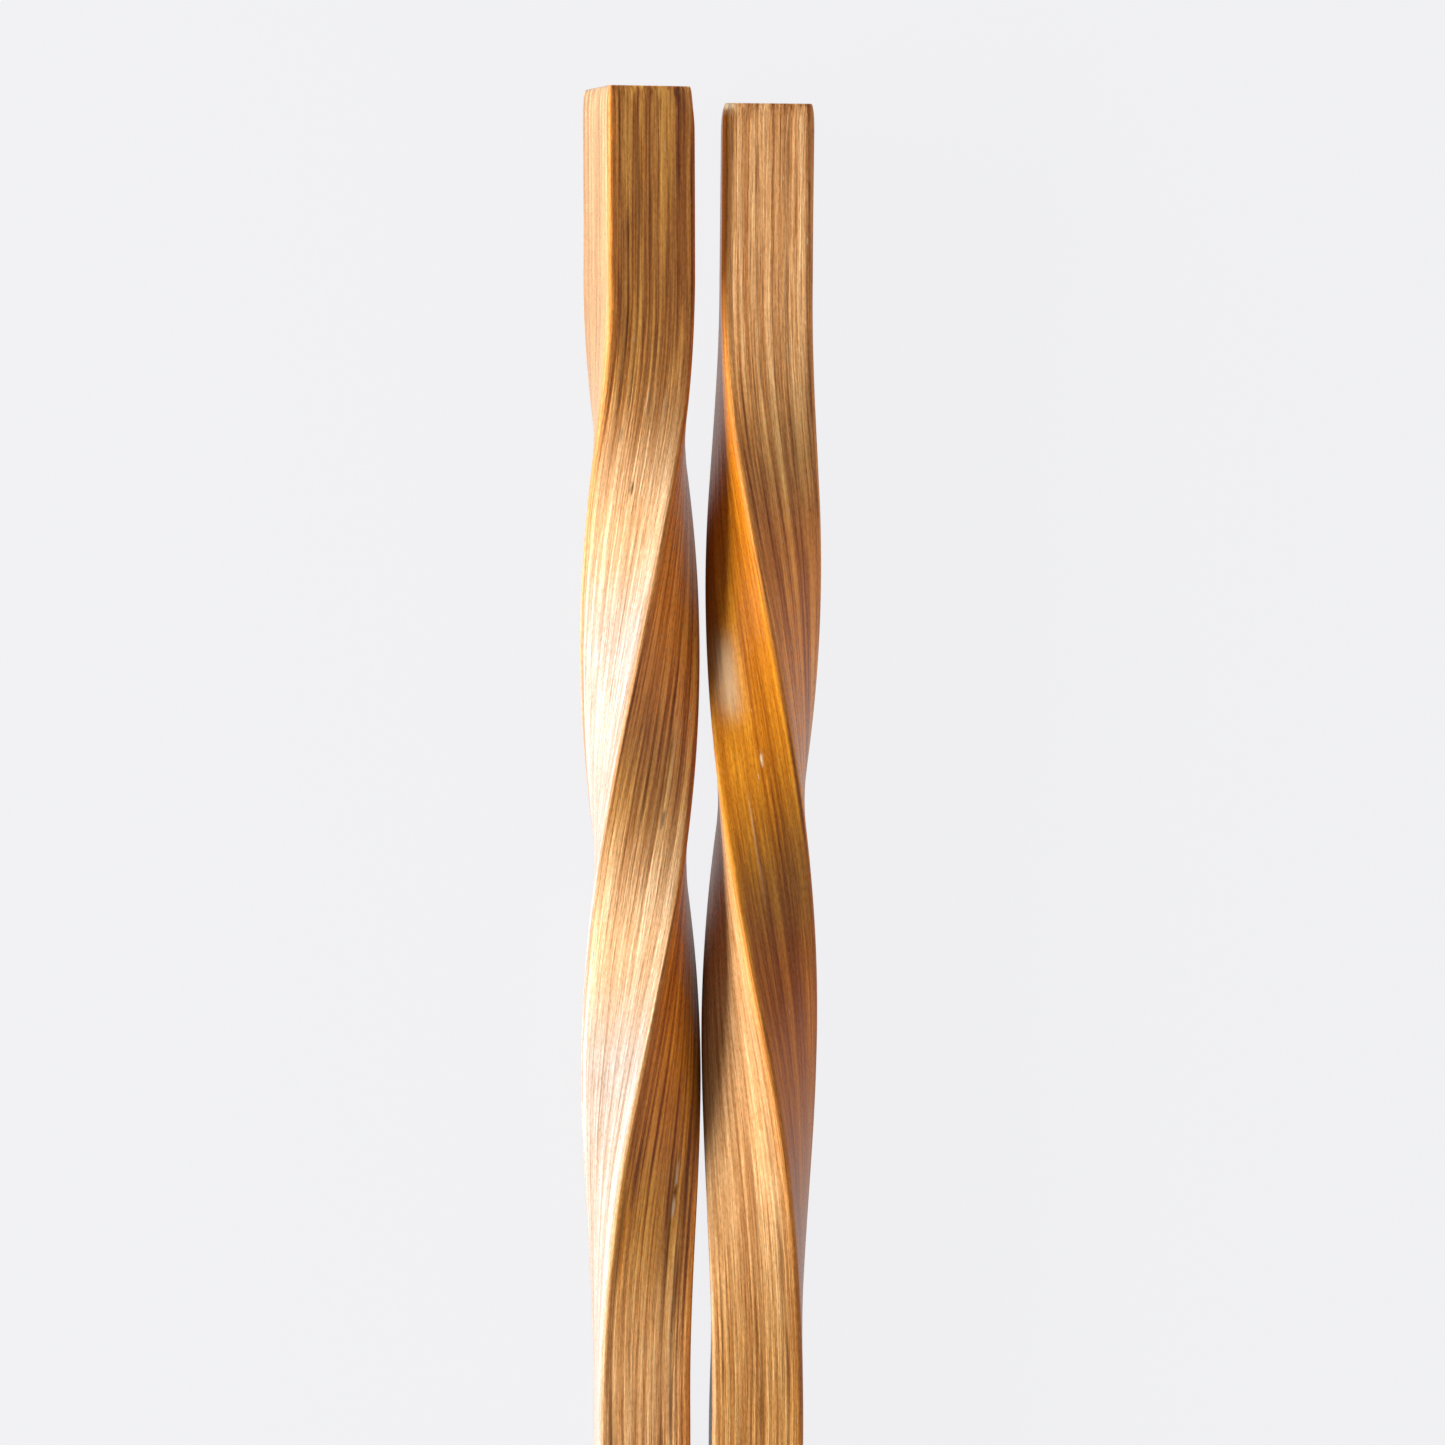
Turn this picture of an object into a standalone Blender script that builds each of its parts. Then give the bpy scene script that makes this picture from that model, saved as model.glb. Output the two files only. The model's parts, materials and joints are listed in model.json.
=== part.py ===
# A pair of bamboo chopsticks with twisted handles, lying side by side on a table.
# Metres, +Z up. The table is the plane z = 0, +Y runs along the sticks towards their
# butt ends and +X from the left stick to the right one.

import math

import bmesh
import bpy
import numpy as np

# Sizes that both sticks share, measured along the stick from its butt end
STICK_LENGTH = 0.240
CORNER_RADIUS = 0.00045
FACE_BULGE = 0.00016             # the faces swell and the corners draw in where the twist is steepest
BUTT_ROUNDING = 0.00026          # how far the butt's edge is softened inwards
BUTT_ROUNDING_LENGTH = 0.0021
TAPER_LENGTH = 0.124             # the lower part that thins towards the tip
ROUND_TIP_LENGTH = 0.058         # the last stretch, where the section is fully round
TIP_DIAMETER = 0.0048
TIP_ROUNDING = 0.0011

# The left stick, twisted like a right-handed screw
LEFT_WIDTH = 0.00738
LEFT_DEPTH = 0.00738
LEFT_BUTT_TURN = math.radians(17.5)
LEFT_TWIST = math.radians(-193.2)
LEFT_TWIST_START = 0.0157        # the straight butt before the twist
LEFT_TWIST_LENGTH = 0.0904
LEFT_EASE_IN = 0.0121
LEFT_EASE_OUT = 0.0234
LEFT_LEAN = math.radians(0.13)

# The right stick, twisted the other way
RIGHT_WIDTH = 0.00734
RIGHT_DEPTH = 0.00699
RIGHT_BUTT_TURN = math.radians(1.3)
RIGHT_TWIST = math.radians(181.1)
RIGHT_TWIST_START = 0.0138
RIGHT_TWIST_LENGTH = 0.0918
RIGHT_EASE_IN = 0.0160
RIGHT_EASE_OUT = 0.0292
RIGHT_LEAN = math.radians(-0.50)

# How the pair lies
BUTT_STEP = 0.00138              # the left butt end stands this far ahead of the right one
STICK_CLEARANCE = 0.00006        # between the two twisted corners that come closest

# Counts of mesh divisions
CORNER_SEGMENTS = 4              # an even count puts a line of points on each corner's crest
FACE_SEGMENTS = 4
END_RINGS = 3
BUTT_RINGS = 3
TWIST_RINGS = 44
TAPER_RINGS = 18
SHARP_ANGLE = math.radians(40)

BAMBOO_LEFT = (0.50, 0.27, 0.105, 1.0)
BAMBOO_RIGHT = (0.54, 0.31, 0.125, 1.0)
BAMBOO_ROUGHNESS = 0.42


def clear_scene():
    for item in list(bpy.data.objects):
        bpy.data.objects.remove(item, do_unlink=True)


def twist_share(distance, twist_path):
    # Share of the twist reached at a distance from the butt: the turning rate climbs evenly
    # over the first ease, holds, and falls evenly over the last one.
    start, length, ease_in, ease_out = twist_path
    along = min(max(distance - start, 0.0), length)
    left_over = length - along
    whole = length - (ease_in + ease_out) / 2
    if along < ease_in:
        turned = along ** 2 / (2 * ease_in)
    elif left_over < ease_out:
        turned = whole - left_over ** 2 / (2 * ease_out)
    else:
        turned = along - ease_in / 2
    return turned / whole


def twist_rate(distance, twist_path):
    # Turning rate at a distance from the butt, as a share of the steepest one
    start, length, ease_in, ease_out = twist_path
    along = min(max(distance - start, 0.0), length)
    return min(along / ease_in, (length - along) / ease_out, 1.0)


def taper_share(distance):
    # 0 on the handle, 1 at the tip
    return max(distance - (STICK_LENGTH - TAPER_LENGTH), 0.0) / TAPER_LENGTH


def round_share(distance):
    # 0 where the section is a square with soft corners, 1 where it is a circle
    change_length = TAPER_LENGTH - ROUND_TIP_LENGTH
    share = (distance - (STICK_LENGTH - TAPER_LENGTH)) / change_length
    share = min(max(share, 0.0), 1.0)
    return share * share * (3 - 2 * share)


def section_points(width, depth, radius, bulge, roundness):
    # Outline of one cross-section: four corner arcs joined by faces that swell in the middle,
    # eased into an ellipse of the same width and depth. Both outlines have their points in step,
    # so no edge shrinks to nothing.
    corner_angles = np.linspace(0, math.pi / 2, CORNER_SEGMENTS + 1)
    face_steps = np.arange(1, FACE_SEGMENTS) / FACE_SEGMENTS
    swelling = bulge * 4 * face_steps * (1 - face_steps)
    corners = []
    for quarter in range(4):
        angles = corner_angles + quarter * math.pi / 2
        side_x = 1 if quarter in (0, 3) else -1
        side_z = 1 if quarter in (0, 1) else -1
        arc_x = side_x * (width / 2 - bulge - radius) + radius * np.cos(angles)
        arc_z = side_z * (depth / 2 - bulge - radius) + radius * np.sin(angles)
        corners.append(np.stack([arc_x, arc_z], axis=1))
    square = []
    for quarter in range(4):
        arc = corners[quarter]
        next_arc = corners[(quarter + 1) % 4]
        facing = (quarter + 1) * math.pi / 2
        outwards = np.array([math.cos(facing), math.sin(facing)])
        face = arc[-1] + face_steps[:, None] * (next_arc[0] - arc[-1]) + swelling[:, None] * outwards
        square.extend([arc, face])
    square = np.concatenate(square)
    steps = np.arange(len(square)) - CORNER_SEGMENTS / 2
    angles = math.pi / 4 + steps * 2 * math.pi / len(square)
    ellipse = np.stack([np.cos(angles) * width / 2, np.sin(angles) * depth / 2], axis=1)
    return square + (ellipse - square) * roundness


def rounded_edge(rounding, length):
    # Distances from an end and insets of a softened edge, from the flat end face outwards
    turns = np.linspace(0, math.pi / 2, END_RINGS + 1)
    return length * (1 - np.cos(turns)), rounding * (1 - np.sin(turns))


def stick_stations(twist_path):
    # Distance from the butt and inset of every ring
    butt_along, butt_inset = rounded_edge(BUTT_ROUNDING, BUTT_ROUNDING_LENGTH)
    tip_along, tip_inset = rounded_edge(TIP_ROUNDING, TIP_ROUNDING)
    twist_start, twist_length = twist_path[:2]
    straight = np.linspace(BUTT_ROUNDING_LENGTH, twist_start, BUTT_RINGS + 1)[1:-1]
    twisted = np.linspace(twist_start, twist_start + twist_length, TWIST_RINGS + 1)
    tapered = np.linspace(STICK_LENGTH - TAPER_LENGTH, STICK_LENGTH - TIP_ROUNDING, TAPER_RINGS + 1)[:-1]
    middle = np.unique(np.concatenate([straight, twisted, tapered]))
    along = np.concatenate([butt_along, middle, STICK_LENGTH - tip_along[::-1]])
    inset = np.concatenate([butt_inset, np.zeros(len(middle)), tip_inset[::-1]])
    return along, inset


def stick_rings(width, depth, butt_turn, twist, twist_path):
    # Points of every ring, in the stick's own frame: butt end at y = 0, tip at y = -length
    rings = []
    for distance, inset in zip(*stick_stations(twist_path)):
        thinning = taper_share(distance)
        ring_width = width + (TIP_DIAMETER - width) * thinning - 2 * inset
        ring_depth = depth + (TIP_DIAMETER - depth) * thinning - 2 * inset
        points = section_points(ring_width, ring_depth, CORNER_RADIUS,
                                FACE_BULGE * twist_rate(distance, twist_path), round_share(distance))
        turn = butt_turn + twist * twist_share(distance, twist_path)
        x = points[:, 0] * math.cos(turn) + points[:, 1] * math.sin(turn)
        z = points[:, 1] * math.cos(turn) - points[:, 0] * math.sin(turn)
        rings.append(np.stack([x, np.full(len(x), -distance), z], axis=1))
    return np.array(rings)


def balance_point(rings):
    # Distance from the butt to the centre of gravity, from the sections' areas
    x = rings[:, :, 0]
    z = rings[:, :, 2]
    areas = np.abs(np.sum(x * np.roll(z, -1, axis=1) - np.roll(x, -1, axis=1) * z, axis=1)) / 2
    distances = -rings[:, 0, 1]
    return np.average(distances, weights=areas * np.gradient(distances))


def resting_pose(rings):
    # The stick lies on one low point on each side of its balance point. Returns the tilt that
    # brings both down to the table and the height of the butt's centre.
    distances = -rings[:, 0, 1]
    undersides = rings[:, :, 2].min(axis=1)
    balance = balance_point(rings)
    lowest = math.inf
    for near in np.flatnonzero(distances < balance):
        for far in np.flatnonzero(distances > balance):
            slope = (undersides[far] - undersides[near]) / (distances[far] - distances[near])
            under_balance = undersides[near] + slope * (balance - distances[near])
            if under_balance < lowest:
                lowest = under_balance
                tilt = math.atan(slope)
                height = distances[near] * math.sin(tilt) - undersides[near] * math.cos(tilt)
    return tilt, height


def plan_outline(rings, tilt, lean, butt_y):
    # Plan view of a lying stick whose butt is at x = 0: along, left edge and right edge
    flat_y = rings[:, :, 1] * math.cos(tilt) - rings[:, :, 2] * math.sin(tilt)
    x = rings[:, :, 0] * math.cos(lean) - flat_y * math.sin(lean)
    y = rings[:, :, 0] * math.sin(lean) + flat_y * math.cos(lean)
    return butt_y + y.mean(axis=1)[::-1], x.min(axis=1)[::-1], x.max(axis=1)[::-1]


def butt_spacing(left_plan, right_plan):
    # Sideways distance between the butts that leaves the clearance at the closest corners
    left_y, _, left_edge = left_plan
    right_y, right_edge, _ = right_plan
    shared = np.concatenate([left_y, right_y])
    shared = shared[(shared > max(left_y[0], right_y[0])) & (shared < min(left_y[-1], right_y[-1]))]
    closing = np.interp(shared, left_y, left_edge) - np.interp(shared, right_y, right_edge)
    return closing.max() + STICK_CLEARANCE


def bamboo_material(name, colour):
    material = bpy.data.materials.new(name)
    material.use_nodes = True
    shader = material.node_tree.nodes["Principled BSDF"]
    shader.inputs["Base Color"].default_value = colour
    shader.inputs["Roughness"].default_value = BAMBOO_ROUGHNESS
    shader.inputs["Metallic"].default_value = 0.0
    material.diffuse_color = colour
    return material


def loft(name, rings, material):
    # Closes the rings into one solid: a flat face on each end and a band of quads between rings
    bm = bmesh.new()
    loops = [[bm.verts.new(point) for point in ring] for ring in rings]
    bm.faces.new(loops[0])
    bm.faces.new(loops[-1])
    for loop, next_loop in zip(loops, loops[1:]):
        for index in range(len(loop)):
            after = (index + 1) % len(loop)
            bm.faces.new((loop[index], loop[after], next_loop[after], next_loop[index]))
    bmesh.ops.recalc_face_normals(bm, faces=bm.faces)
    mesh = bpy.data.meshes.new(name)
    bm.to_mesh(mesh)
    bm.free()
    mesh.shade_smooth()
    mesh.set_sharp_from_angle(angle=SHARP_ANGLE)
    mesh.materials.append(material)
    stick = bpy.data.objects.new(name, mesh)
    bpy.context.collection.objects.link(stick)
    return stick


def guide(name, location):
    empty = bpy.data.objects.new(name, None)
    empty.location = location
    bpy.context.collection.objects.link(empty)
    return empty


def main():
    clear_scene()
    left_path = (LEFT_TWIST_START, LEFT_TWIST_LENGTH, LEFT_EASE_IN, LEFT_EASE_OUT)
    right_path = (RIGHT_TWIST_START, RIGHT_TWIST_LENGTH, RIGHT_EASE_IN, RIGHT_EASE_OUT)
    left_rings = stick_rings(LEFT_WIDTH, LEFT_DEPTH, LEFT_BUTT_TURN, LEFT_TWIST, left_path)
    right_rings = stick_rings(RIGHT_WIDTH, RIGHT_DEPTH, RIGHT_BUTT_TURN, RIGHT_TWIST, right_path)
    left_tilt, left_height = resting_pose(left_rings)
    right_tilt, right_height = resting_pose(right_rings)

    left_butt_y = (STICK_LENGTH + BUTT_STEP) / 2
    right_butt_y = left_butt_y - BUTT_STEP
    left_plan = plan_outline(left_rings, left_tilt, LEFT_LEAN, left_butt_y)
    right_plan = plan_outline(right_rings, right_tilt, RIGHT_LEAN, right_butt_y)
    spacing = butt_spacing(left_plan, right_plan)
    left_butt_x = -(left_plan[1].min() + spacing + right_plan[2].max()) / 2
    right_butt_x = left_butt_x + spacing

    left_place = guide("left_stick_rest", (left_butt_x, left_butt_y, left_height))
    left_stick = loft("left_stick", left_rings, bamboo_material("bamboo_left", BAMBOO_LEFT))
    left_stick.parent = left_place
    left_stick.rotation_euler = (left_tilt, 0, LEFT_LEAN)

    # The right stick is drawn away from the left one along this guide's X axis
    right_place = guide("right_stick_slide", (right_butt_x, right_butt_y, right_height))
    right_stick = loft("right_stick", right_rings, bamboo_material("bamboo_right", BAMBOO_RIGHT))
    right_stick.parent = right_place
    right_stick.rotation_euler = (right_tilt, 0, RIGHT_LEAN)


main()
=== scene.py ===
import json
import math

import bpy
import numpy as np
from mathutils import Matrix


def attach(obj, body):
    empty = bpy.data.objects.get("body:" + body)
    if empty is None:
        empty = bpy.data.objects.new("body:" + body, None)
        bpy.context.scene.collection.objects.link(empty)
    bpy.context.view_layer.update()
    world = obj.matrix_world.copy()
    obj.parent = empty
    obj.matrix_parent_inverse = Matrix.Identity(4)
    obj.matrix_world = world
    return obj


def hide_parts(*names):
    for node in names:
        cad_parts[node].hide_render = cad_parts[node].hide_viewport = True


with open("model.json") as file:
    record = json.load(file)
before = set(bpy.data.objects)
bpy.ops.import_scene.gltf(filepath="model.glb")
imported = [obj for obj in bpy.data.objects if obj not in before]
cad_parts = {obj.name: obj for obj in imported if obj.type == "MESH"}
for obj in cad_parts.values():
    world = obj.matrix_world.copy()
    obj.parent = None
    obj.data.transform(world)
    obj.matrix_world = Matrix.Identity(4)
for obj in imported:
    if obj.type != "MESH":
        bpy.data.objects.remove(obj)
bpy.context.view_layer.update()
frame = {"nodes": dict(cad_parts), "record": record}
mounts = {mount["name"]: mount for mount in frame["record"]["mounts"]}
print("frame loaded:", ", ".join(sorted(frame["nodes"])))


class Signal:
    # a shader socket that takes part in plain arithmetic: each sign adds one Math node
    def __init__(self, tree, socket=None):
        self.tree = tree
        self.socket = socket

    def node(self, kind, settings=None, sockets=None, out=0):
        # any node: its settings are set first, then the values or links of its sockets
        made = self.tree.nodes.new(kind)
        for name, value in (settings or {}).items():
            setattr(made, name, value)
        for name, value in (sockets or {}).items():
            if isinstance(value, Signal):
                self.tree.links.new(value.socket, made.inputs[name])
            else:
                made.inputs[name].default_value = value
        return Signal(self.tree, made.outputs[out] if len(made.outputs) else None)

    def other(self, name):
        # another output of the same node
        return Signal(self.tree, self.socket.node.outputs[name])

    def sum(self, operation, first, second=0.0, clamp=False):
        return self.node("ShaderNodeMath", {"operation": operation, "use_clamp": clamp},
                         {0: first, 1: second})

    def __add__(self, other):
        return self.sum("ADD", self, other)

    def __sub__(self, other):
        return self.sum("SUBTRACT", self, other)

    def __rsub__(self, other):
        return self.sum("SUBTRACT", other, self)

    def __mul__(self, other):
        return self.sum("MULTIPLY", self, other)

    __radd__ = __add__
    __rmul__ = __mul__

    def clamped(self):
        return self.sum("ADD", self, 0.0, clamp=True)

    def between(self, low, high):
        # 0 at low and below, 1 at high and above, with soft ends
        return self.node("ShaderNodeMapRange", {"interpolation_type": "SMOOTHSTEP"},
                         {"Value": self, "From Min": low, "From Max": high})

    def mixed(self, other, share, blend="MIX"):
        # this colour turned into another one by a share
        return self.node("ShaderNodeMix", {"data_type": "RGBA", "blend_type": blend},
                         {0: share, 6: self, 7: other}, 2)


# both sticks: millimetres, counted along the stick from its butt end
stickShape = {
    "length": 240.0,
    "cornerRadius": 0.45,
    "faceBulge": 0.16,
    "buttRounding": 0.26,
    "buttRoundingLength": 2.1,
    "taperLength": 124.0,
    "roundTipLength": 58.0,
    "tipDiameter": 4.8,
    "tipRounding": 1.1,
    "pointsAround": 288,
    "handleStep": 0.42,
    "taperRings": 40,
    "edgeRings": 6,
    "capRings": 4,
    "ridgeHeight": 0.005,
    "waveHeight": 0.010,
    "bundleDepth": 0.014,
    "crackDepth": 0.055,
    "sink": 0.015,
}

# the left stick, twisted like a right-handed screw
# colours are the face colours of the bamboo under white light, the culm's outer side is minusX, apart from
# the painted sheen and painted shade colours
# cracks: face, place across it, first and last place along it, width, strength
# flaws: face, place across it and along it, half width, half length, lift, darkness, paleness; the flaws
# without lift are painted light, painted shade or a painted sheen
leftStick = {
    "piece": "leftStick",
    "node": "left_stick",
    "body": "left",
    "slot": "bamboo_left",
    "mount": "left_butt_end",
    "width": 7.38,
    "depth": 7.38,
    "buttTurn": 17.5,
    "twist": -193.2,
    "twistStart": 15.7,
    "twistLength": 90.4,
    "twistEaseIn": 12.1,
    "twistEaseOut": 23.4,
    "seed": 11,
    "plusX": (0.99, 0.43, 0.085),
    "plusZ": (0.99, 0.39, 0.044),
    "minusX": (0.45, 0.245, 0.085),
    "minusZ": (0.87, 0.33, 0.032),
    "edge": (1.00, 0.30, 0.014),
    "edgeWidth": 0.62,
    # painted light: a pale painted sheen for faces leaning left, duller far down that side, its share, and
    # painted shade for faces leaning right
    "paintedSheen": (0.92, 0.56, 0.29),
    "paintedSheenFar": (0.47, 0.38, 0.315),
    "paintedSheenShare": 0.95,
    "paintedShade": (0.84, 0.67, 0.52),
    "lineSpacing": (0.40, 0.78),
    "cracks": (
        ("plusZ", -2.05, 9.0, 27.5, 0.10, 0.95),
        ("plusZ", -1.15, 1.5, 27.0, 0.09, 0.75),
        ("plusZ", -2.76, 2.4, 4.2, 0.08, 0.85),
        ("plusZ", 1.30, 3.0, 19.0, 0.09, 0.55),
        ("plusX", 1.80, 46.0, 53.0, 0.10, 0.80),
        ("plusX", 0.55, 43.0, 60.0, 0.10, 0.70),
        ("plusX", -0.60, 41.0, 66.0, 0.09, 0.55),
        ("minusZ", 2.66, 86.0, 118.0, 0.14, 0.85),
        ("minusZ", -1.28, 83.0, 120.0, 0.13, 0.80),
        ("minusZ", -2.18, 80.0, 118.0, 0.14, 0.85),
    ),
    "flawsAndPaintedLight": (
        ("plusZ", -1.43, 27.75, 0.16, 0.50, -0.06, 0.5, 0.2),
        ("plusZ", 0.18, 25.2, 0.07, 1.0, 0.04, 0.0, 0.5),
        ("plusZ", 1.63, 25.6, 0.07, 1.1, 0.04, 0.0, 0.5),
        ("plusZ", 0.11, 32.0, 0.12, 0.5, -0.09, 0.9, 0.0),
        ("plusX", -1.31, 54.0, 0.07, 3.6, 0.04, 0.0, 0.6),
        ("plusX", -1.05, 54.6, 0.08, 3.0, -0.04, 0.8, 0.0),
        ("plusX", -1.28, 58.4, 0.16, 0.6, -0.08, 0.7, 0.3),
        ("minusZ", -1.43, 86.8, 0.10, 0.9, 0.05, 0.0, 1.0),
        ("minusZ", -1.45, 88.2, 0.13, 0.5, -0.12, 1.0, 0.0),
        ("minusZ", -1.42, 89.4, 0.10, 0.7, 0.05, 0.0, 1.0),
        ("plusZ", 3.60, 0.0, 0.90, 2.4, -0.18, 0.0, 0.0),
        # painted shade on the side that faces the other stick
        ("minusZ", -3.70, 76.0, 1.80, 9.0, 0.0, 0.85, 0.0),
    ),
}

# the right stick, twisted the other way
rightStick = {
    "piece": "rightStick",
    "node": "right_stick",
    "body": "right",
    "slot": "bamboo_right",
    "mount": "right_butt_end",
    "width": 7.34,
    "depth": 6.99,
    "buttTurn": 1.3,
    "twist": 181.1,
    "twistStart": 13.8,
    "twistLength": 91.8,
    "twistEaseIn": 16.0,
    "twistEaseOut": 29.2,
    "seed": 29,
    "plusX": (0.82, 0.42, 0.130),
    "plusZ": (0.88, 0.37, 0.080),
    "minusX": (0.60, 0.205, 0.010),
    "minusZ": (0.98, 0.42, 0.050),
    "edge": (0.86, 0.28, 0.012),
    "edgeWidth": 0.60,
    # painted light: a pale painted sheen for faces leaning left, duller far down that side, its share, and
    # painted shade for faces leaning right
    "paintedSheen": (0.80, 0.48, 0.26),
    "paintedSheenFar": (0.50, 0.32, 0.20),
    "paintedSheenShare": 0.60,
    "paintedShade": (0.95, 0.70, 0.42),
    "lineSpacing": (0.40, 0.62),
    "cracks": (
        ("plusZ", -2.85, 0.8, 30.0, 0.12, 0.65),
        ("plusZ", -0.75, 2.0, 24.0, 0.10, 0.55),
        ("plusZ", 1.60, 0.5, 34.0, 0.11, 0.60),
        ("minusX", -1.60, 46.0, 74.0, 0.09, 0.45),
        ("minusZ", -0.45, 80.0, 118.0, 0.11, 0.55),
        ("minusZ", -2.40, 72.0, 118.0, 0.13, 0.70),
    ),
    "flawsAndPaintedLight": (
        ("plusZ", -3.15, 0.1, 0.50, 0.45, -0.10, 0.0, 0.9),
        # painted shadow of the left stick across the butt end's left edge
        ("plusZ", -3.75, 4.0, 0.80, 14.0, 0.0, 1.40, 0.0),
        # painted shade on the sides that face the other stick
        ("minusX", -3.60, 39.5, 1.80, 7.0, 0.0, 0.90, 0.0),
        ("minusZ", 3.70, 75.0, 1.50, 9.0, 0.0, 0.90, 0.0),
        # a painted sheen: a pale patch of glancing light on the outer skin, a little darkened
        ("minusX", -1.40, 45.6, 1.00, 3.2, 0.0, 0.20, 0.55),
        ("minusX", -0.98, 59.5, 0.06, 4.0, 0.02, 0.0, 0.45),
        ("minusX", 0.56, 52.2, 0.10, 0.4, 0.04, 0.0, 1.0),
        ("minusZ", 3.50, 94.4, 0.22, 0.7, -0.14, 0.5, 0.0),
        ("plusZ", 2.90, 55.0, 0.14, 0.35, 0.10, 0.0, 0.8),
    ),
}


def smoothStep(share):
    share = np.clip(share, 0, 1)
    return share * share * (3 - 2 * share)


def twistPath(along, stick):
    # the turning rate climbs evenly over the first ease, holds, and falls evenly over the last one
    easeIn = stick["twistEaseIn"]
    easeOut = stick["twistEaseOut"]
    total = stick["twistLength"]
    gone = np.clip(along - stick["twistStart"], 0, total)
    whole = total - (easeIn + easeOut) / 2
    starting = gone ** 2 / (2 * easeIn)
    ending = whole - (total - gone) ** 2 / (2 * easeOut)
    turned = np.where(gone < easeIn, starting, np.where(gone > total - easeOut, ending, gone - easeIn / 2))
    rate = np.clip(np.minimum(gone / easeIn, (total - gone) / easeOut), 0, 1)
    return turned / whole, rate


def walkOutline(width, depth, radius, count):
    # even steps round a rectangle with round corners: the place on the inner rectangle, from -1 to 1
    # each way, the direction of the outward normal, and the distance walked
    flatX = width - 2 * radius
    flatZ = depth - 2 * radius
    arc = math.pi / 2 * radius
    walkedAt = np.cumsum([0, flatZ / 2, arc, flatX, arc, flatZ, arc, flatX, arc, flatZ / 2])
    walked = np.arange(count) / count * walkedAt[-1]
    innerX = np.interp(walked, walkedAt, [1, 1, 1, -1, -1, -1, -1, 1, 1, 1])
    innerZ = np.interp(walked, walkedAt, [0, 1, 1, 1, 1, -1, -1, -1, -1, 0])
    facing = np.interp(walked, walkedAt, [0, 0, 90, 90, 180, 180, 270, 270, 360, 360])
    return innerX, innerZ, facing, walked, walkedAt[-1]


def stickRows(shape):
    # every ring's distance from the butt, its inset and its share of full size: a flat cap, a soft
    # edge, the handle, the taper, and the tip's soft edge and cap
    turns = np.linspace(0, math.pi / 2, shape["edgeRings"] + 1)
    length = shape["length"]
    taperStart = length - shape["taperLength"]
    handleCount = int(round((taperStart - shape["buttRoundingLength"]) / shape["handleStep"]))
    buttEdge = shape["buttRoundingLength"] * (1 - np.cos(turns))
    tipEdge = length - shape["tipRounding"] * (1 - np.cos(turns[::-1]))
    handle = np.linspace(buttEdge[-1], taperStart, handleCount + 1)[1:]
    taper = np.linspace(taperStart, tipEdge[0], shape["taperRings"] + 1)[1:-1]
    capShare = (np.arange(shape["capRings"]) + 0.5) / shape["capRings"]
    along = np.concatenate([np.zeros(len(capShare)), buttEdge, handle, taper, tipEdge,
                            np.full(len(capShare), length)])
    buttInset = shape["buttRounding"] * (1 - np.sin(turns))
    tipInset = shape["tipRounding"] * (1 - np.sin(turns[::-1]))
    middle = np.zeros(len(handle) + len(taper))
    inset = np.concatenate([np.full(len(capShare), buttInset[0]), buttInset, middle, tipInset,
                            np.full(len(capShare), tipInset[-1])])
    share = np.concatenate([capShare, np.ones(len(along) - 2 * len(capShare)), capShare[::-1]])
    return along[:, None], inset[:, None], share[:, None]


def fibreRidges(walked, around, along, rng, knotWidth, rowLength):
    # fine ridges: rings of random heights round the stick, each blending into the next along its length
    count = int(around / knotWidth)
    rows = int(along.max() / rowLength) + 2
    heights = rng.normal(size=(rows, count))
    knots = np.arange(count) / count * around
    rings = np.array([np.interp(walked, knots, row, period=around) for row in heights])
    place = along[:, 0] / rowLength
    row = place.astype(int)
    share = smoothStep(place - row)[:, None]
    return rings[row] * (1 - share) + rings[row + 1] * share


def fibreBundles(walked, around, along, rng, spacing, strength):
    # dark bundles: lines along the stick at uneven steps round it, bell shaped across, that wander a
    # little and fade in and out
    depth = np.zeros((len(along), len(walked)))
    place = 0.0
    while place < around:
        wander = rng.uniform(0.02, 0.08) * np.sin(along / rng.uniform(5, 16) + rng.uniform(0, 6.28))
        wander += rng.uniform(0.0, 0.14) * np.sin(along / rng.uniform(20, 45) + rng.uniform(0, 6.28))
        level = 0.62 + 0.5 * np.sin(along / rng.uniform(6, 22) + rng.uniform(0, 6.28))
        level = np.clip(level + 0.35 * np.sin(along / rng.uniform(1.5, 4) + rng.uniform(0, 6.28)), 0, 1)
        across = (walked - place - wander + around / 2) % around - around / 2
        here = rng.uniform(0.25, 1.0) * np.interp(place, walked, strength)
        depth += here * level * np.exp(-(across / rng.uniform(0.08, 0.16)) ** 2)
        place += np.interp(place, walked, spacing) * rng.uniform(0.55, 1.45)
    return np.clip(depth, 0, 1)


def onSection(stick, face, across):
    # a point of the straight section, from a face's name and the place across that face
    return {"plusX": (stick["width"] / 2, across), "minusX": (-stick["width"] / 2, across),
            "plusZ": (across, stick["depth"] / 2), "minusZ": (across, -stick["depth"] / 2)}[face]


def openCracks(plainX, plainZ, along, rng, stick):
    # drying cracks: bell shaped across, following the fibres, running out at both ends
    depth = np.zeros(plainX.shape)
    for face, across, first, last, width, strength in stick["cracks"]:
        centreX, centreZ = onSection(stick, face, across)
        wander = rng.uniform(0.04, 0.10) * np.sin(along / rng.uniform(5, 12) + rng.uniform(0, 6.28))
        stretch = wander if face in ("plusZ", "minusZ") else 0
        rise = wander if face in ("plusX", "minusX") else 0
        away = np.hypot(plainX - centreX - stretch, plainZ - centreZ - rise)
        ends = smoothStep((along - first) / 3) * smoothStep((last - along) / 3)
        pulse = 0.75 + 0.25 * np.sin(along / rng.uniform(1.2, 3.5) + rng.uniform(0, 6.28))
        depth = np.maximum(depth, strength * ends * pulse * np.exp(-(away / width) ** 2))
    return depth


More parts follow.
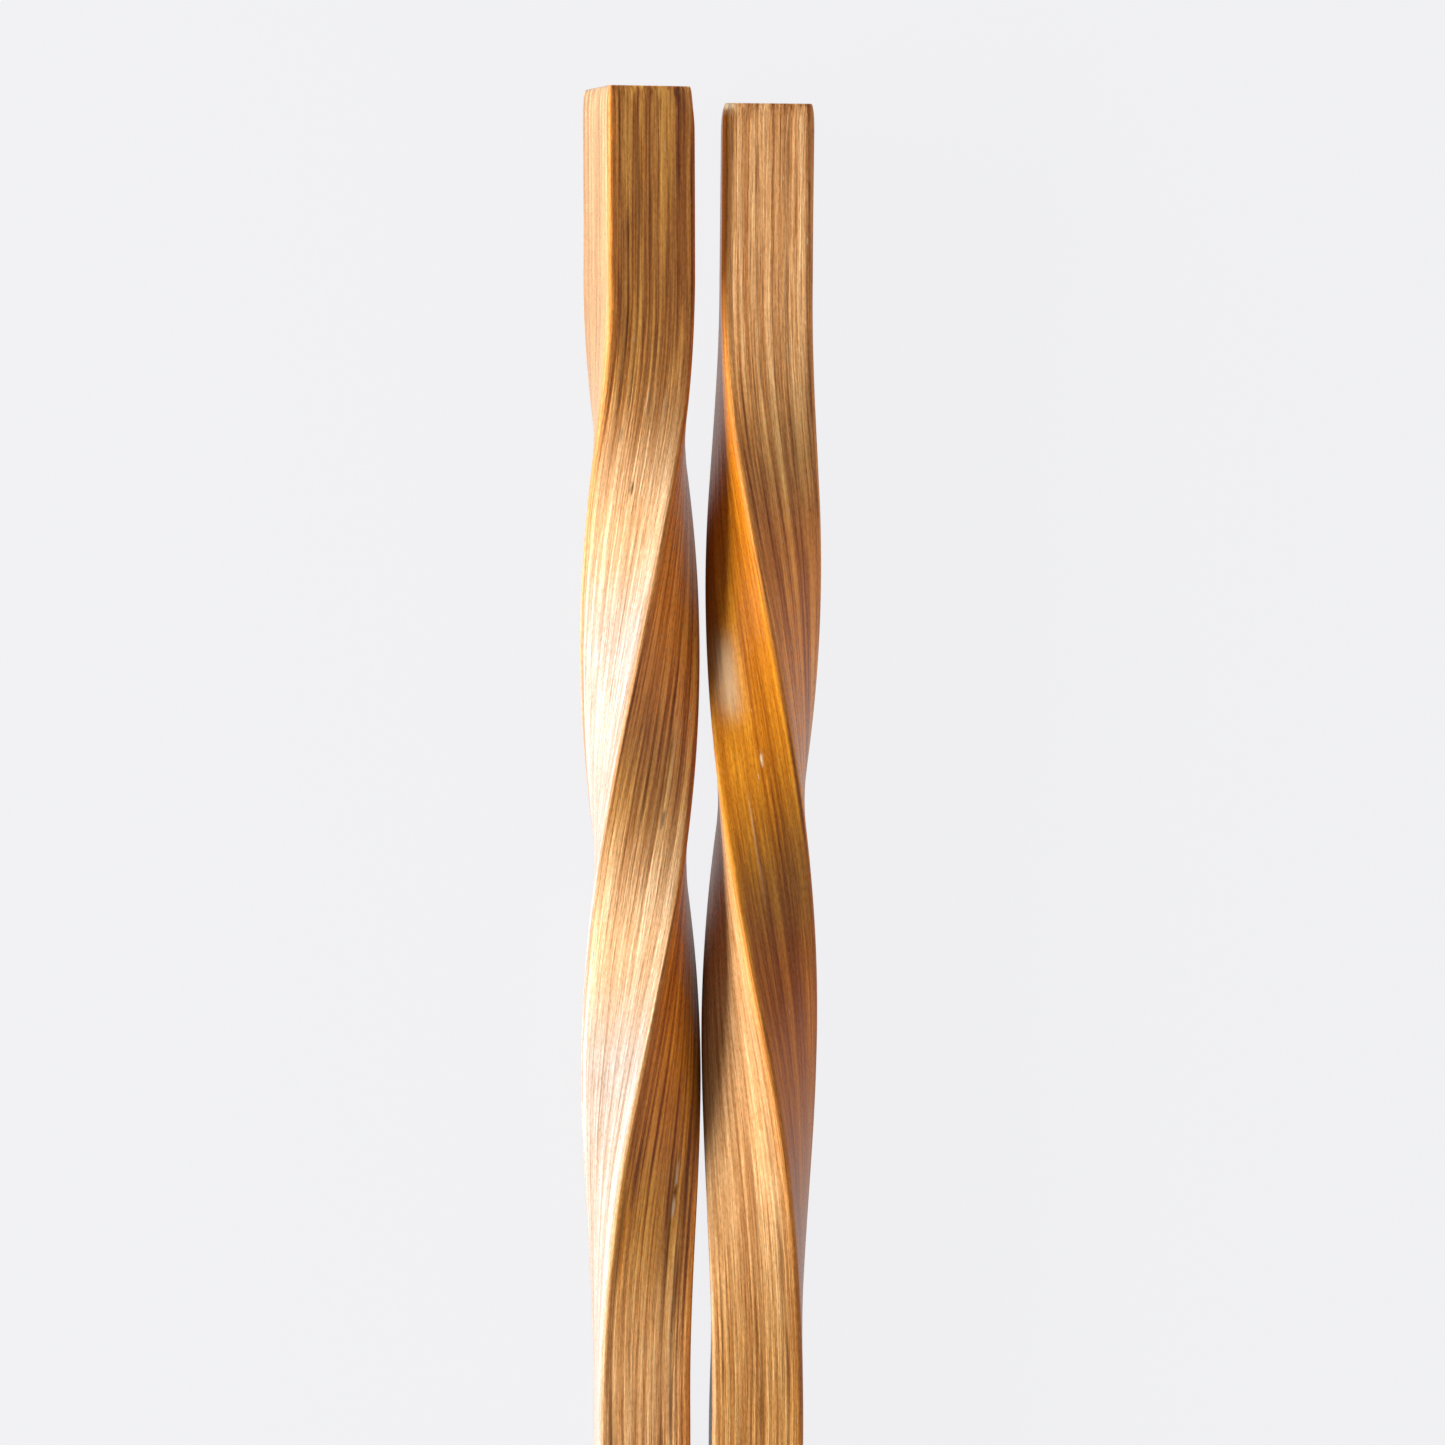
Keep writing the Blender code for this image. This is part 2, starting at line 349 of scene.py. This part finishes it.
def markFlawsAndPaintedLight(plainX, plainZ, along, stick):
    # chips, pits, lifted fibres and worn corners, which move the surface and mark it, and patches of painted
    # shade and painted sheen, which only colour it: all bell shaped
    lift = np.zeros(plainX.shape)
    dark = np.zeros(plainX.shape)
    pale = np.zeros(plainX.shape)
    for face, across, place, halfWidth, halfLength, rise, darkness, paleness in stick["flawsAndPaintedLight"]:
        centreX, centreZ = onSection(stick, face, across)
        away = np.hypot(plainX - centreX, plainZ - centreZ) / halfWidth
        patch = np.exp(-away ** 2 - ((along - place) / halfLength) ** 4)
        lift += rise * patch
        dark = np.maximum(dark, darkness * patch)
        pale = np.maximum(pale, paleness * patch)
    return lift, dark, pale


# where the painted sheen and the painted shade, a deeper brown, begin, in degrees of lean to the left, and
# how far they take to grow
leanZones = {
    "paleFrom": -22,
    "paleOver": 34,
    "farFrom": 12,
    "farOver": 33,
    "deepFrom": -12,
    "deepOver": 25,
    "gone": 150,
    "goneOver": 60,
    "quiet": 0.55,
}


def paintLeanLight(colour, facing, turn, skin, stick):
    # painted light: a pale painted sheen where the surface leans to the left, duller far down that side, and
    # painted shade, a deeper brown, where it leans to the right
    lean = (facing - np.degrees(turn) + 90) % 360 - 180
    zones = leanZones
    pale = smoothStep((lean - zones["paleFrom"]) / zones["paleOver"])
    pale = pale * smoothStep((zones["gone"] - lean) / zones["goneOver"]) * (1 - skin) * stick["paintedSheenShare"]
    paintedShade = smoothStep((zones["deepFrom"] - lean) / zones["deepOver"])
    paintedShade = paintedShade * smoothStep((zones["gone"] + lean) / zones["goneOver"])
    far = smoothStep((lean - zones["farFrom"]) / zones["farOver"])[..., None]
    paintedSheen = np.array(stick["paintedSheen"]) * (1 - far) + np.array(stick["paintedSheenFar"]) * far
    colour = colour + (paintedSheen - colour) * pale[..., None]
    return colour * (1 - paintedShade[..., None] * (1 - np.array(stick["paintedShade"]))), pale


def faceColours(facing, turn, plainX, along, rng, stick):
    # each face its own brown, blended round the corners, a painted sheen where the surface leans left and
    # painted shade where it leans right, an orange line beside the culm's outer side, and slow changes along
    # the stick; the line and the painted sheen keep the fibres' marks quiet
    sides = np.array([stick[face] for face in ("plusX", "plusZ", "minusX", "minusZ", "plusX")])
    faceAngles = [0, 90, 180, 270, 360]
    colour = np.stack([np.interp(facing, faceAngles, sides[:, band]) for band in range(3)], axis=-1)
    skin = 1 - smoothStep((np.abs(facing - 180) - 20) / 50)
    beside = np.exp(-((plainX + stick["width"] / 2) / stick["edgeWidth"]) ** 2) * (1 - skin)
    # painted sheen and painted shade by how the surface leans
    colour, pale = paintLeanLight(colour[None], facing, turn, skin, stick)
    colour = colour + (np.array(stick["edge"]) - colour) * beside[..., None]
    slow = sum(rng.uniform(0.02, 0.05) * np.sin(along / rng.uniform(4, 18) + rng.uniform(0, 6.28))
               for _ in range(4))
    quiet = np.maximum(beside, leanZones["quiet"] * pale)
    return colour * (1 + slow[..., None]), np.broadcast_to(skin, plainX.shape), quiet


def stickSurface(shape, stick):
    # a rectangle with round corners, inner rectangle plus radius times normal, its faces swelling out
    # with the rate of twist, carried along the stick, eased into an ellipse on the taper and turned
    rng = np.random.default_rng(stick["seed"])
    along, inset, share = stickRows(shape)
    innerX, innerZ, facing, walked, around = walkOutline(
        stick["width"], stick["depth"], shape["cornerRadius"], shape["pointsAround"])
    turned, rate = twistPath(along, stick)
    taperStart = shape["length"] - shape["taperLength"]
    thinning = np.clip((along - taperStart) / shape["taperLength"], 0, 1)
    width = stick["width"] + (shape["tipDiameter"] - stick["width"]) * thinning - 2 * inset
    depth = stick["depth"] + (shape["tipDiameter"] - stick["depth"]) * thinning - 2 * inset
    radius = shape["cornerRadius"] - inset * (1 - thinning)
    bulge = shape["faceBulge"] * rate
    normalX = np.cos(np.radians(facing))
    normalZ = np.sin(np.radians(facing))
    swell = bulge * (2 - innerX ** 2 - innerZ ** 2)
    squareX = innerX * (width / 2 - bulge - radius) + (radius + swell) * normalX
    squareZ = innerZ * (depth / 2 - bulge - radius) + (radius + swell) * normalZ
    angle = np.arange(len(facing)) / len(facing) * 2 * math.pi
    roundness = smoothStep((along - taperStart) / (shape["taperLength"] - shape["roundTipLength"]))
    plainX = (squareX + (np.cos(angle) * width / 2 - squareX) * roundness) * share
    plainZ = (squareZ + (np.sin(angle) * depth / 2 - squareZ) * roundness) * share

    turn = np.radians(stick["buttTurn"] + stick["twist"] * turned)
    colour, skin, quiet = faceColours(facing, turn, plainX, along, rng, stick)
    culm = np.clip((plainX[30] + stick["width"] / 2) / stick["width"], 0, 1)
    spacing = stick["lineSpacing"][0] + (stick["lineSpacing"][1] - stick["lineSpacing"][0]) * culm
    bundles = fibreBundles(walked, around, along, rng, spacing, 1 - 0.6 * skin[0])
    ridges = fibreRidges(walked, around, along, rng, 0.25, 14.0)
    waves = fibreRidges(walked, around, along, rng, 2.5, 9.0)
    cracks = openCracks(plainX, plainZ, along, rng, stick)
    flawLift, dark, pale = markFlawsAndPaintedLight(plainX, plainZ, along, stick)
    raised = shape["ridgeHeight"] * ridges + shape["waveHeight"] * waves
    sunk = shape["bundleDepth"] * bundles + shape["crackDepth"] * cracks + shape["sink"]
    lift = (raised - sunk + flawLift) * share
    sectionX = plainX + lift * normalX
    sectionZ = plainZ + lift * normalZ
    x = sectionX * np.cos(turn) + sectionZ * np.sin(turn)
    z = sectionZ * np.cos(turn) - sectionX * np.sin(turn)
    placed = np.stack([x, np.broadcast_to(-along, x.shape), z], axis=-1)
    grain = np.stack([plainX, np.broadcast_to(along, plainX.shape), plainZ], axis=-1)
    cut = np.broadcast_to(1.0 * (share < 1), plainX.shape)
    # marks: fibre bundles; cracks and dark flaws together with the painted shade; pale flaws together with
    # the painted sheen
    marks = np.stack([bundles, np.maximum(cracks, dark), pale], axis=-1)
    zones = np.stack([cut, skin, quiet], axis=-1)
    return {"placed": placed, "grain": grain, "tint": colour, "marks": marks, "zones": zones}


def lieOnTable(points, mount):
    # the stick's own Y axis runs out of its butt end, its X axis stays level
    out = np.array(mount["axis"])
    out = out / np.linalg.norm(out)
    level = np.array([out[1], -out[0], 0.0]) / math.hypot(out[0], out[1])
    up = np.cross(level, out)
    return points @ np.stack([level, out, up]) * 0.001 + np.array(mount["pos_m"])


def closedGrid(rows, columns):
    # quads between neighbouring rings, and a fan of triangles to a middle point on each end
    ring = np.arange(columns)
    after = (ring + 1) % columns
    first = (np.arange(rows - 1) * columns)[:, None]
    quads = np.stack([first + ring, first + after, first + columns + after, first + columns + ring], axis=-1)
    butt = rows * columns
    tip = butt + 1
    last = (rows - 1) * columns
    buttFan = np.stack([after, ring, np.full(columns, butt)], axis=-1)
    tipFan = np.stack([last + ring, last + after, np.full(columns, tip)], axis=-1)
    return quads.reshape(-1, 4), np.concatenate([buttFan, tipFan])


def buildStick(shape, stick):
    surface = stickSurface(shape, stick)
    rows, columns = surface["placed"].shape[:2]
    quads, fans = closedGrid(rows, columns)

    def withEnds(values):
        # adds the two middle points that close the ends
        flat = values.reshape(rows * columns, -1)
        return np.concatenate([flat, values[[0, -1]].mean(axis=1)])

    points = lieOnTable(withEnds(surface["placed"]), mounts[stick["mount"]])
    mesh = bpy.data.meshes.new(stick["piece"])
    mesh.from_pydata(points.tolist(), [], quads.tolist() + fans.tolist())
    for name in ("grain", "tint", "marks", "zones"):
        layer = mesh.attributes.new(name, "FLOAT_VECTOR", "POINT")
        layer.data.foreach_set("vector", withEnds(surface[name]).astype(np.float32).ravel())
    mesh.polygons.foreach_set("use_smooth", np.ones(len(mesh.polygons), bool))
    mesh.update()
    piece = bpy.data.objects.new(stick["piece"], mesh)
    bpy.context.scene.collection.objects.link(piece)
    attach(piece, stick["body"])
    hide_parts(stick["node"])
    print(stick["piece"], "has", len(quads) * 2 + len(fans), "triangles")
    return piece


# steamed bamboo: what turns the face colours into fibres, and the satin finish
bambooTones = {
    "bundle": (0.38, 0.21, 0.09),
    # the crack colour also colours the painted shade patches
    "crackAndPaintedShade": (0.150, 0.042, 0.006),
    "pale": (0.86, 0.66, 0.42),
    "darkBand": (0.66, 0.52, 0.36),
    "lightBand": (1.25, 1.38, 1.55),
    "thread": (0.54, 0.36, 0.19),
    "lightThread": (1.30, 1.50, 1.80),
    "fineDark": (0.80, 0.72, 0.60),
    "fineLight": (1.28, 1.38, 1.50),
    "endGrain": (0.40, 0.22, 0.09),
    "roughness": 0.32,
    "roughnessSpread": 0.6,
    "refraction": 1.6,
    "specular": 0.2,
    "coat": 0.8,
    "coatRefraction": 1.5,
    "coatRoughness": 0.40,
    "glow": 0.06,
    "glowDepth": 0.0004,
    "glowRadius": (1.0, 0.42, 0.16),
    "bumpDepth": 0.0001,
}

# noises along the fibres: fineness across, stretch along, detail, roughness
bambooFibres = {
    "bands": (0.8, 0.02, 2.0, 0.5),
    "streaks": (2.0, 0.011, 2.0, 0.5),
    "threads": (4.6, 0.014, 2.0, 0.6),
    "hairs": (9.0, 0.035, 2.0, 0.6),
    "flecks": (7.5, 0.30, 2.0, 0.6),
    "specks": (3.2, 0.22, 1.0, 0.5),
}


def bambooFinish(name, tones, shift):
    # fibres run along the grain attribute's second axis: every noise is stretched along it
    material = bpy.data.materials.new(name)
    material.use_nodes = True
    tree = material.node_tree
    tree.nodes.clear()
    start = Signal(tree)

    def attribute(layer):
        return start.node("ShaderNodeAttribute", {"attribute_name": layer}, {}, "Vector")

    def parts(layer):
        split = start.node("ShaderNodeSeparateXYZ", {}, {0: attribute(layer)})
        return split, split.other("Y"), split.other("Z")

    grain = attribute("grain")
    tint = attribute("tint")
    bundle, crackAndPaintedShade, pale = parts("marks")
    cut, skin, quiet = parts("zones")

    def fibres(kind):
        fineness, stretch, detail, roughness = bambooFibres[kind]
        scaled = start.node("ShaderNodeMapping", {}, {
            "Vector": grain, "Location": (shift, shift * 2.3, shift * 0.7),
            "Scale": (fineness, fineness * stretch, fineness)})
        return start.node("ShaderNodeTexNoise", {"noise_dimensions": "3D"}, {
            "Vector": scaled, "Scale": 1.0, "Detail": detail, "Roughness": roughness})

    bands, streaks, threads = fibres("bands"), fibres("streaks"), fibres("threads")
    hairs, flecks, specks = fibres("hairs"), fibres("flecks"), fibres("specks")

    def marked(colour, noise, low, high, dark, light, share):
        # the colour multiplied by a dark tone where a noise is low and by a light tone where it is high
        colour = colour.mixed((*tones[dark], 1), (1 - noise.between(low, 0.5)) * share, "MULTIPLY")
        return colour.mixed((*tones[light], 1), noise.between(0.5, high) * share, "MULTIPLY")

    plain = 1 - quiet
    colour = marked(tint, bands, 0.34, 0.66, "darkBand", "lightBand", plain * 0.6 - skin * 0.4)
    colour = marked(colour, streaks, 0.36, 0.66, "thread", "lightThread", plain * 0.8 - skin * 0.25)
    colour = marked(colour, threads, 0.34, 0.68, "thread", "lightThread", plain * 0.75 - skin * 0.35)
    colour = colour.mixed((*tones["bundle"], 1), bundle * plain, "MULTIPLY")
    colour = marked(colour, hairs * 0.6 + flecks * 0.4, 0.36, 0.64, "fineDark", "fineLight", 0.9)
    colour = colour.mixed((*tones["pale"], 1), specks.between(0.74, 0.84) * 0.6)
    # cracks, dark pits and the painted shade take the crack colour
    colour = colour.mixed((*tones["crackAndPaintedShade"], 1), (crackAndPaintedShade * (0.8 + flecks * 0.4)).clamped())
    # pale fibres, and the painted sheen patch
    colour = colour.mixed((*tones["pale"], 1), (pale * (0.5 + hairs)).clamped())
    colour = colour.mixed((*tones["endGrain"], 1), cut * 0.5)

    rough = tones["roughness"] + (flecks - 0.5) * tones["roughnessSpread"]
    # less coat in cracks and under the painted shade
    coat = tones["coat"] * (1 - crackAndPaintedShade)
    height = (threads * 0.7 + hairs * 0.3 + flecks * 0.3) * (1 - skin * 0.65)
    bump = start.node("ShaderNodeBump", {}, {
        "Strength": 1.0, "Distance": tones["bumpDepth"], "Height": height})
    shader = start.node("ShaderNodeBsdfPrincipled", {"subsurface_method": "RANDOM_WALK"}, {
        "Base Color": colour, "Roughness": rough.clamped(), "Normal": bump, "Coat Weight": coat,
        "IOR": tones["refraction"], "Specular IOR Level": tones["specular"],
        "Coat Roughness": tones["coatRoughness"], "Coat IOR": tones["coatRefraction"],
        "Subsurface Weight": tones["glow"], "Subsurface Radius": tones["glowRadius"],
        "Subsurface Scale": tones["glowDepth"]})
    start.node("ShaderNodeOutputMaterial", {}, {"Surface": shader})
    return material


# the table: a pale sheet that shows white to the camera and in reflections, and keeps a soft shadow
table = {
    "half": 4.0,
    "drop": 0.00003,
    "shown": (0.883, 0.883, 0.900),
    "shadowShare": 0.03,
    "mirroredShadowShare": 0.55,
    "bounce": 0.80,
}


def seenDirectly(start):
    # rays from the camera, and rays from it by way of a reflection or through glass
    camera = start.node("ShaderNodeLightPath", {}, {}, "Is Camera Ray")
    mirrored = (camera.other("Is Glossy Ray") + camera.other("Is Transmission Ray")).clamped()
    return camera, mirrored


def buildTable(table):
    half = table["half"]
    mesh = bpy.data.meshes.new("tableTop")
    corners = [(-half, -half, -table["drop"]), (half, -half, -table["drop"]),
               (half, half, -table["drop"]), (-half, half, -table["drop"])]
    mesh.from_pydata(corners, [], [(0, 1, 2, 3)])
    material = bpy.data.materials.new("paleTable")
    material.use_nodes = True
    material.node_tree.nodes.clear()
    start = Signal(material.node_tree)
    lit = start.node("ShaderNodeBsdfDiffuse", {}, {"Color": (table["bounce"],) * 3 + (1,)})
    shown = start.node("ShaderNodeEmission", {}, {"Color": (*table["shown"], 1)})
    camera, mirrored = seenDirectly(start)
    share = camera * (1 - table["shadowShare"]) + mirrored * (1 - table["mirroredShadowShare"])
    surface = start.node("ShaderNodeMixShader", {}, {0: share, 1: lit, 2: shown})
    start.node("ShaderNodeOutputMaterial", {}, {"Surface": surface})
    mesh.materials.append(material)
    top = bpy.data.objects.new("tableTop", mesh)
    bpy.context.scene.collection.objects.link(top)


# soft studio light: a long panel low on the left, and a room with pale walls under a dark ceiling
studio = {
    "keyPlace": (-0.36, 0.06, 0.104),
    "keySize": (0.158, 0.50),
    "keyRadiance": 18.0,
    "walls": 0.45,
    "wallTop": (0.02, 0.62),
    "fill": 0.14,
    "fillRight": 0.70,
    "rightSide": (0.0, 0.73),
    "backdrop": 0.845,
    "backdropTop": (0.05, 0.14),
}


def buildLights(studio):
    lamp = bpy.data.lights.new("keyPanel", "AREA")
    lamp.shape = "RECTANGLE"
    lamp.size, lamp.size_y = studio["keySize"]
    lamp.energy = studio["keyRadiance"] * math.pi * lamp.size * lamp.size_y
    key = bpy.data.objects.new("keyPanel", lamp)
    key.location = studio["keyPlace"]
    key.rotation_euler = (0, math.radians(-90), 0)
    key.visible_camera = False
    key.visible_glossy = False  # seen low from the right, it would bleach the upper faces
    bpy.context.scene.collection.objects.link(key)

    world = bpy.data.worlds.new("paleRoom")
    bpy.context.scene.world = world
    world.use_nodes = True
    world.node_tree.nodes.clear()
    start = Signal(world.node_tree)
    direction = start.node("ShaderNodeTexCoord", {}, {}, "Generated")
    side = start.node("ShaderNodeSeparateXYZ", {}, {0: direction})
    low = 1 - side.other("Z").between(*studio["wallTop"])
    fill = studio["fill"] + side.between(*studio["rightSide"]) * studio["fillRight"]
    lit = fill + low * low * (studio["walls"] - fill)
    shown = (1 - side.other("Z").between(*studio["backdropTop"])) * studio["backdrop"]
    camera, mirrored = seenDirectly(start)
    strength = lit + (camera + mirrored).clamped() * (shown - lit)
    room = start.node("ShaderNodeBackground", {}, {"Color": (1, 1, 1, 1), "Strength": strength})
    start.node("ShaderNodeOutputWorld", {}, {"Surface": room})


# the photograph's frame: pixels, and where the left stick's butt end sits in it
photoView = {
    "pixels": 1445,
    "pixelsPerMm": 12.5,
    "buttColumn": 638.6,
    "buttRow": 88.2,
    "distance": 0.65,
    "sensor": 36.0,
}


def buildCamera(photoView):
    # straight above the sticks, far enough away that they look nearly flat on
    butt = mounts["left_butt_end"]["pos_m"]
    middle = photoView["pixels"] / 2
    perPixel = 0.001 / photoView["pixelsPerMm"]
    shownWidth = photoView["pixels"] * perPixel
    lens = bpy.data.cameras.new("camera")
    lens.sensor_width = photoView["sensor"]
    lens.lens = photoView["sensor"] * photoView["distance"] / shownWidth
    lens.clip_start = 0.01
    lens.clip_end = 20
    camera = bpy.data.objects.new("camera", lens)
    camera.location = (butt[0] + (middle - photoView["buttColumn"]) * perPixel,
                       butt[1] - (middle - photoView["buttRow"]) * perPixel,
                       butt[2] + photoView["distance"])
    bpy.context.scene.collection.objects.link(camera)
    bpy.context.scene.camera = camera


buildCamera(photoView)
print("camera set")
buildLights(studio)
buildTable(table)
print("table and lights set")
leftPiece = buildStick(stickShape, leftStick)
leftPiece.data.materials.append(bambooFinish("bambooLeft", bambooTones, 3.1))
rightPiece = buildStick(stickShape, rightStick)
rightPiece.data.materials.append(bambooFinish("bambooRight", bambooTones, 17.7))
print("sticks finished")

bpy.context.scene.view_settings.view_transform = "Standard"
